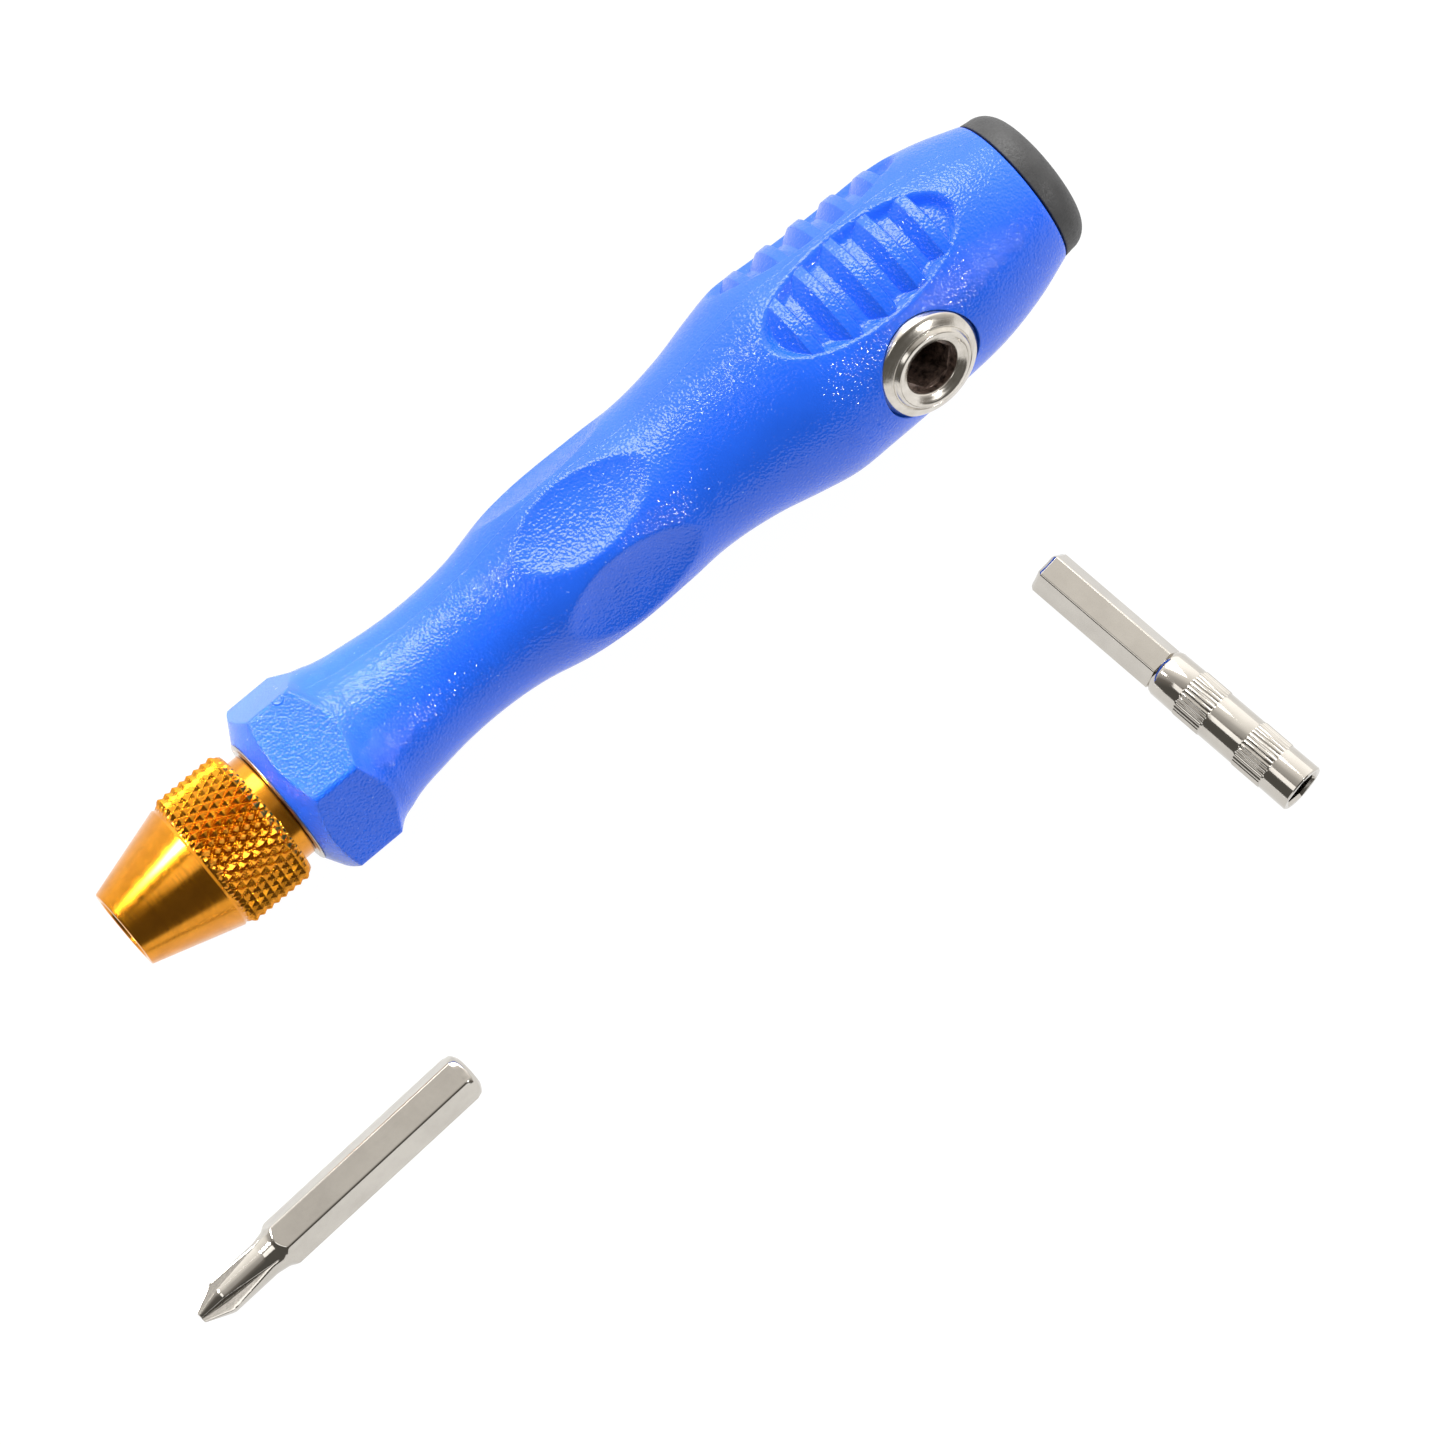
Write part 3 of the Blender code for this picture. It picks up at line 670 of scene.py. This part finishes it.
def knurl_radius(column, row):
    """Radius at a point of the knurl's grid: low in two crossed families of grooves, high between them."""
    half = 2 * KNURL_STEPS
    first = abs((column + row) % half / half - 0.5) * 2
    second = abs((column - row) % half / half - 0.5) * 2
    height = 1 - max(first, second)
    return NUT_RADIUS - KNURL_DEPTH * (1 - height)


def make_nut():
    """Gold nut: a turned cone, a band of diamond knurling, a neck, and the bore."""
    columns = KNURL_COUNT * 2 * KNURL_STEPS
    angles = even_angles(columns)
    rear, front = KNURL_X
    low = NUT_RADIUS - KNURL_DEPTH
    rows = [(TAPER_X[1], MOUTH_RADIUS), (MOUTH_X - 0.25, MOUTH_RADIUS)]
    mouth = [(MOUTH_X - 0.12, MOUTH_RADIUS + 0.02), (MOUTH_X, MOUTH_RADIUS + 0.12), (MOUTH_X, MOUTH_RIM)]
    rows += rounded(mouth + [(front, low)], 0.12)[1:-1]
    rows.append((front + 0.25, low))
    count = KNURL_ROWS * KNURL_STEPS
    end_radius = low - KNURL_RELIEF
    for i in range(count + 1):
        x = front - (front - rear) * i / count
        share = min(1.0, min(i, count - i) / KNURL_RUN_OUT)
        profile = np.array([knurl_radius(j, i) for j in range(columns)])
        rows.append((x, end_radius + (profile - end_radius) * share))
    step = rear - 0.02
    rows += [(step, low - 0.3), (step, NECK_RADIUS + 0.1)]
    neck = [(step, NECK_RADIUS + 0.1), (rear - 0.05, NECK_RADIUS), (NUT_REAR_X, NECK_RADIUS)]
    rows += rounded(neck + [(NUT_REAR_X, THREAD_RADIUS)], 0.1)[1:]
    rows.append((TAPER_X[0], THREAD_RADIUS))
    nut = skin("nut_knurled", rows, angles, HANDLE_FRAME, ring=True)
    split_knurl(nut)
    shade(nut, math.radians(18))
    return nut


def on_knurl(face):
    middle = face.calc_center_median() / MM
    return KNURL_X[0] < middle.z < KNURL_X[1] and middle.xy.length > NECK_RADIUS + 0.2


def split_knurl(nut):
    """Splits each quad of the knurl along the groove direction, so that its facets are flat."""
    shape = bmesh.new()
    shape.from_mesh(nut.data)
    for face in [face for face in shape.faces if on_knurl(face)]:
        corners = list(face.verts)
        spans = [abs(corners[i].co.xy.length - corners[i + 2].co.xy.length) for i in (0, 1)]
        start = 0 if spans[0] < spans[1] else 1
        bmesh.utils.face_split(face, corners[start], corners[start + 2])
    shape.to_mesh(nut.data)
    shape.free()


# ---- stud -----------------------------------------------------------------------------------------------

def make_stud():
    """Steel insert: shank, thin flange, threaded spigot, and the bore for the collet and a bit's shank."""
    angles = even_angles(120)
    rim, thickness = STUD_FLANGE
    flange_rear = HANDLE_FRONT_X + STUD_GAP
    flange_front = flange_rear + thickness
    crest = THREAD_RADIUS - THREAD_PLAY
    rows = [(STUD_REAR_X, 0), (STUD_REAR_X, STUD_RADIUS), (flange_rear, STUD_RADIUS), (flange_rear, rim)]
    rows += [(flange_front - 0.08, rim), (flange_front, rim - 0.14), (flange_front, crest)]
    for x in spaced(flange_front + 0.2, SPIGOT_X - 0.4, THREAD_PITCH / THREAD_STEPS):
        turns = x / THREAD_PITCH - angles / TURN
        rows.append((x, crest - THREAD_DEPTH * np.abs(2 * (turns % 1) - 1)))
    bore, bore_floor = STUD_BORE
    hexagon = hexagon_radius(angles, HEX_SOCKET, 30, SOCKET_SOFTNESS)
    rows += [(SPIGOT_X - 0.3, crest - THREAD_DEPTH), (SPIGOT_X, SPIGOT_RIM), (SPIGOT_X, bore)]
    rows += [(bore_floor, bore), (bore_floor, hexagon)]
    rows += [(STUD_SOCKET_FLOOR, hexagon), (STUD_SOCKET_FLOOR, 0)]
    stud = skin("stud_threaded", rows, angles, HANDLE_FRAME)
    shade(stud)
    return stud


# ---- side bush ------------------------------------------------------------------------------------------

def make_bush():
    """Flanged bush: bevelled flange, fine groove, raised dished lip, round entry and hex socket."""
    angles = even_angles(240)
    hexagon = hexagon_radius(angles, HEX_SOCKET, 30, SOCKET_SOFTNESS)
    entry, entry_floor = BUSH_ENTRY
    seat = SPOT_FACE + SEAT_GAP
    outside = [(0, BUSH_SHANK_RADIUS), (seat, BUSH_SHANK_RADIUS), (seat, FLANGE_RADIUS)]
    outside += [(9.2, FLANGE_RADIUS), (9.42, 4.7), (9.8, 3.98), (9.72, 3.9), (9.8, 3.82)]
    outside += [(BUSH_TOP - 0.02, 3.6), (BUSH_TOP, 3.45), (BUSH_TOP - 0.03, 3.25), (BUSH_TOP - 0.34, 2.62)]
    outside += [(BUSH_TOP - 0.5, entry), (entry_floor, entry)]
    rows = [(0, 0)] + rounded(outside, 0.12)
    rows += [(entry_floor, hexagon), (BUSH_SOCKET_FLOOR, hexagon), (BUSH_SOCKET_FLOOR, 0)]
    bush = skin("bush_flanged", rows, angles, facing(BUSH_X, BUSH_FACE))
    shade(bush, math.radians(30))
    return bush


# ---- end cap --------------------------------------------------------------------------------------------

def make_cap():
    """Swivel cap with a rounded rim, and the boss whose socket holds the pin's head."""
    rim = CAP_JOINT_X - CAP_GAP
    boss, boss_front = CAP_BOSS
    room, room_floor = CAP_HEAD_ROOM
    rows = [(0, 0), (0, 4.2), (0.015, 4.75)]
    steps = 12
    for i in range(steps + 1):
        angle = math.radians(78) * (1 - i / steps)
        x = CAP_ROUNDING * (1 - math.sin(angle))
        rows.append((x, CAP_SIDE_RADIUS - CAP_ROUNDING * (1 - math.cos(angle))))
    edge = CAP_RIM_RADIUS
    rows += [(rim - 0.12, edge), (rim - 0.03, edge - 0.02), (rim, edge - 0.12)]
    rows += [(rim, boss), (boss_front, boss), (boss_front, CAP_PIN_RADIUS)]
    rows += [(boss_front - 0.8, CAP_PIN_RADIUS), (boss_front - 1.1, room)]
    rows += [(room_floor, room), (room_floor, 0)]
    cap = skin("cap_swivel", rows, even_angles(160), HANDLE_FRAME)
    shade(cap)
    return cap


# ---- bits -----------------------------------------------------------------------------------------------

def flute_radius(angles, apex):
    """Radius left by four square-nosed flutes whose inner corners lie at a distance from the axis."""
    away = from_face(angles, 90, 45)
    open_side = np.maximum(np.cos(away) - np.abs(np.sin(away)), 1e-3)
    return apex / open_side


def cross_outline():
    """(position, radius) points of the cross bit as a turned shape, whose shank clears the hexagon."""
    half, neck, clear = CROSS_HALF, CROSS_NECK, CROSS_CLEAR
    shoulder = half - CROSS_POINT_LENGTH
    outline = [(-half, 0), (-half, 1.45), (-half + 0.35, 2.0), (-half + 1.1, 2.36), (-half + 1.3, clear)]
    outline += [(shoulder, clear), (shoulder + 1.1, neck + 0.22), (shoulder + 2.3, neck)]
    outline += [(half - 2.5, neck), (half - 2.2, neck - 0.1), (half - 0.1, 0.58), (half, 0.48), (half, 0)]
    return rounded(outline, 0.2, 4)


def make_cross_bit():
    """Hex shank, shoulder, round neck and four-winged point."""
    angles = even_angles(288)
    hexagon = hexagon_radius(angles, CROSS_FLATS, 0, SHANK_SOFTNESS)
    softness = 0.05
    turned = cross_outline()
    rows = []
    for (start, first), (end, second) in zip(turned, turned[1:]):
        steps = 14 if abs(end - start) > 0.6 else 1
        for i in range(steps):
            z, radius = (a + (b - a) * i / steps for a, b in ((start, end), (first, second)))
            profile = softer(np.full(len(angles), radius), hexagon, softness) if radius > 0 else 0
            depth = z - (CROSS_HALF - FLUTE_LENGTH)
            if depth > 0 and radius > 0:
                apex = CROSS_NECK + 0.05 - FLUTE_FALL * depth
                profile = np.minimum(profile, softer(profile, flute_radius(angles, apex), softness))
            rows.append((z, profile))
    rows.append((CROSS_HALF, 0))
    bit = skin("bit_cross", rows, angles, lying(CROSS_PLACE, CROSS_TURN, CROSS_FLATS / 2))
    shade(bit, math.radians(30))
    return bit


def make_socket_bit():
    """Hex shank and a round barrel with two fluted bands and a nut socket in its end."""
    angles = even_angles(FLUTES * 10)
    hexagon = hexagon_radius(angles, SOCKET_FLATS, 0, SHANK_SOFTNESS)
    nut_flats, nut_depth = NUT_SOCKET
    inner = hexagon_radius(angles, nut_flats, 30, 0.08)
    half, barrel = SOCKET_HALF, BARREL_RADIUS
    shoulder = -half + SOCKET_SHANK_LENGTH
    flutes = FLUTE_DEPTH * (0.5 + 0.5 * np.cos(angles * FLUTES))
    rows = [(-half, 0)]
    for z, trim in ((-half, 0.45), (-half + 0.12, 0.2), (-half + 0.4, 0.0), (shoulder, 0.0)):
        rows.append((z, hexagon - trim))
    for z, trim in ((0.02, 0.45), (0.25, 0.2), (0.6, 0.08)):
        rows.append((shoulder + z, barrel - trim))
    for start, end in BANDS:
        start, end = shoulder + start, shoulder + end
        rows += [(start - 0.1, barrel - 0.05), (start, barrel - 0.06), (start + 0.12, barrel - flutes)]
        rows += [(end - 0.12, barrel - flutes), (end, barrel - 0.06), (end + 0.1, barrel - 0.05)]
    rows += [(half - 0.1, barrel - 0.03), (half, barrel - 0.13), (half, inner + 0.25)]
    rows += [(half - 0.25, inner), (half - nut_depth, inner), (half - nut_depth, 0)]
    bit = skin("bit_socket", rows, angles, lying(SOCKET_PLACE, SOCKET_TURN, BARREL_RADIUS))
    shade(bit, math.radians(30))
    return bit


# ---- stage ----------------------------------------------------------------------------------------------

def make_floor():
    finish = Finish("floor_white", 0.7)
    finish.color((0.03, 0.03, 0.03))
    finish.shader.inputs["Emission Color"].default_value = (1, 1, 1, 1)
    finish.shader.inputs["Emission Strength"].default_value = FLOOR_GLOW
    mesh = bpy.data.meshes.new("floor")
    shape = bmesh.new()
    bmesh.ops.create_grid(shape, x_segments=1, y_segments=1, size=FLOOR_HALF)
    shape.to_mesh(mesh)
    shape.free()
    floor = bpy.data.objects.new("floor", mesh)
    bpy.context.scene.collection.objects.link(floor)
    floor.location.z = cad_bounds[0][2]
    mesh.materials.append(finish.material)


def add_light(name, aim, away, distance, size, brightness, roll=0, spread=180):
    """A soft box that faces a point of the object, from a direction in degrees of azimuth and elevation.

    Its distance and its size are in metres.
    """
    data = bpy.data.lights.new(name, "AREA")
    data.shape = "RECTANGLE"
    data.size, data.size_y = size
    data.energy = brightness * math.pi * size[0] * size[1]
    data.spread = math.radians(spread)
    light = bpy.data.objects.new(name, data)
    bpy.context.scene.collection.objects.link(light)
    azimuth, elevation = (math.radians(value) for value in away)
    level = math.cos(elevation)
    toward = Vector((math.cos(azimuth) * level, math.sin(azimuth) * level, math.sin(elevation)))
    place = Matrix.Translation(Vector(aim) * MM + toward * distance)
    turn = toward.to_track_quat("Z", "Y").to_matrix() @ Matrix.Rotation(math.radians(roll), 3, "Z")
    light.matrix_world = place @ turn.to_4x4()


def make_world():
    """A studio that is pale on the handle's -X and -Y sides, and dark on the others."""
    world = bpy.data.worlds.new("studio")
    bpy.context.scene.world = world
    world.use_nodes = True
    nodes, links = world.node_tree.nodes, world.node_tree.links
    direction = nodes.new("ShaderNodeTexCoord").outputs["Generated"]
    side = nodes.new("ShaderNodeVectorMath")
    side.operation = "DOT_PRODUCT"
    links.new(direction, side.inputs[0])
    side.inputs[1].default_value = PALE_SIDE
    share = nodes.new("ShaderNodeMapRange")
    links.new(side.outputs["Value"], share.inputs["Value"])
    share.inputs["From Min"].default_value = -1
    ramp = nodes.new("ShaderNodeValToRGB")
    links.new(share.outputs["Result"], ramp.inputs["Fac"])
    set_stops(ramp, SURROUND)
    links.new(ramp.outputs["Color"], nodes["Background"].inputs["Color"])


def make_camera():
    data = bpy.data.cameras.new("camera")
    data.lens = CAMERA_LENS
    data.sensor_width = CAMERA_SENSOR
    data.clip_start = 0.01
    camera = bpy.data.objects.new("camera", data)
    bpy.context.scene.collection.objects.link(camera)
    turn = Matrix((CAMERA_RIGHT, CAMERA_UP, CAMERA_RIGHT.cross(CAMERA_UP))).transposed()
    camera.matrix_world = Matrix.Translation(CAMERA_PLACE) @ turn.to_4x4()
    bpy.context.scene.camera = camera


# ---- build ----------------------------------------------------------------------------------------------

def dress(obj, material, body, node):
    """Gives a new piece its material, and sets it in place of its CAD node."""
    obj.data.materials.clear()
    obj.data.materials.append(material)
    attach(obj, body)
    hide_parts(node)


def repaint(node, material):
    """Gives a CAD node that stays in view its material."""
    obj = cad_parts[node]
    for slot in obj.material_slots:
        slot.material = material


dress(make_handle(), blue_plastic(), "handle", "handle_body")
dress(make_nut(), gold(), "chuck_nut", "chuck_nut")
dress(make_stud(), stud_plate(), "handle", "chuck_stud")
dress(make_bush(), bush_plate(), "handle", "side_bush")
dress(make_cap(), charcoal_plastic(), "end_cap", "end_cap")
bit_finish = bit_plate()
dress(make_cross_bit(), bit_finish, "cross_bit", "cross_bit")
dress(make_socket_bit(), bit_finish, "socket_bit", "socket_bit")

magnet_finish = magnet_plate()
steel_finish = collet_steel()
for node, material in (("collet", steel_finish), ("swivel_pin", steel_finish),
                       ("bit_magnet", magnet_finish), ("side_magnet", magnet_finish),
                       ("thrust_washer", acetal())):
    repaint(node, material)

make_floor()
make_world()
add_light("main_soft_box", (50, 0, 0), (238, 48), 0.9, size=(0.6, 0.45), brightness=7.0)
add_light("tip_strip", (97, 0, 6), (310, 50), 0.16, size=(0.13, 0.045), brightness=1.1, roll=45, spread=16)
add_light("tip_panel", (95, 0, 6), (10, 66), 0.3, size=(0.12, 0.12), brightness=1.5)
add_light("glint_light", (40, 0, 5), (123, 31), 0.35, size=(0.024, 0.018), brightness=260.0)
add_light("ridge_light", (17, 0, 10), (314, 50), 0.35, size=(0.09, 0.03), brightness=25.0, roll=45)
make_camera()
bpy.context.scene.view_settings.view_transform = "Standard"
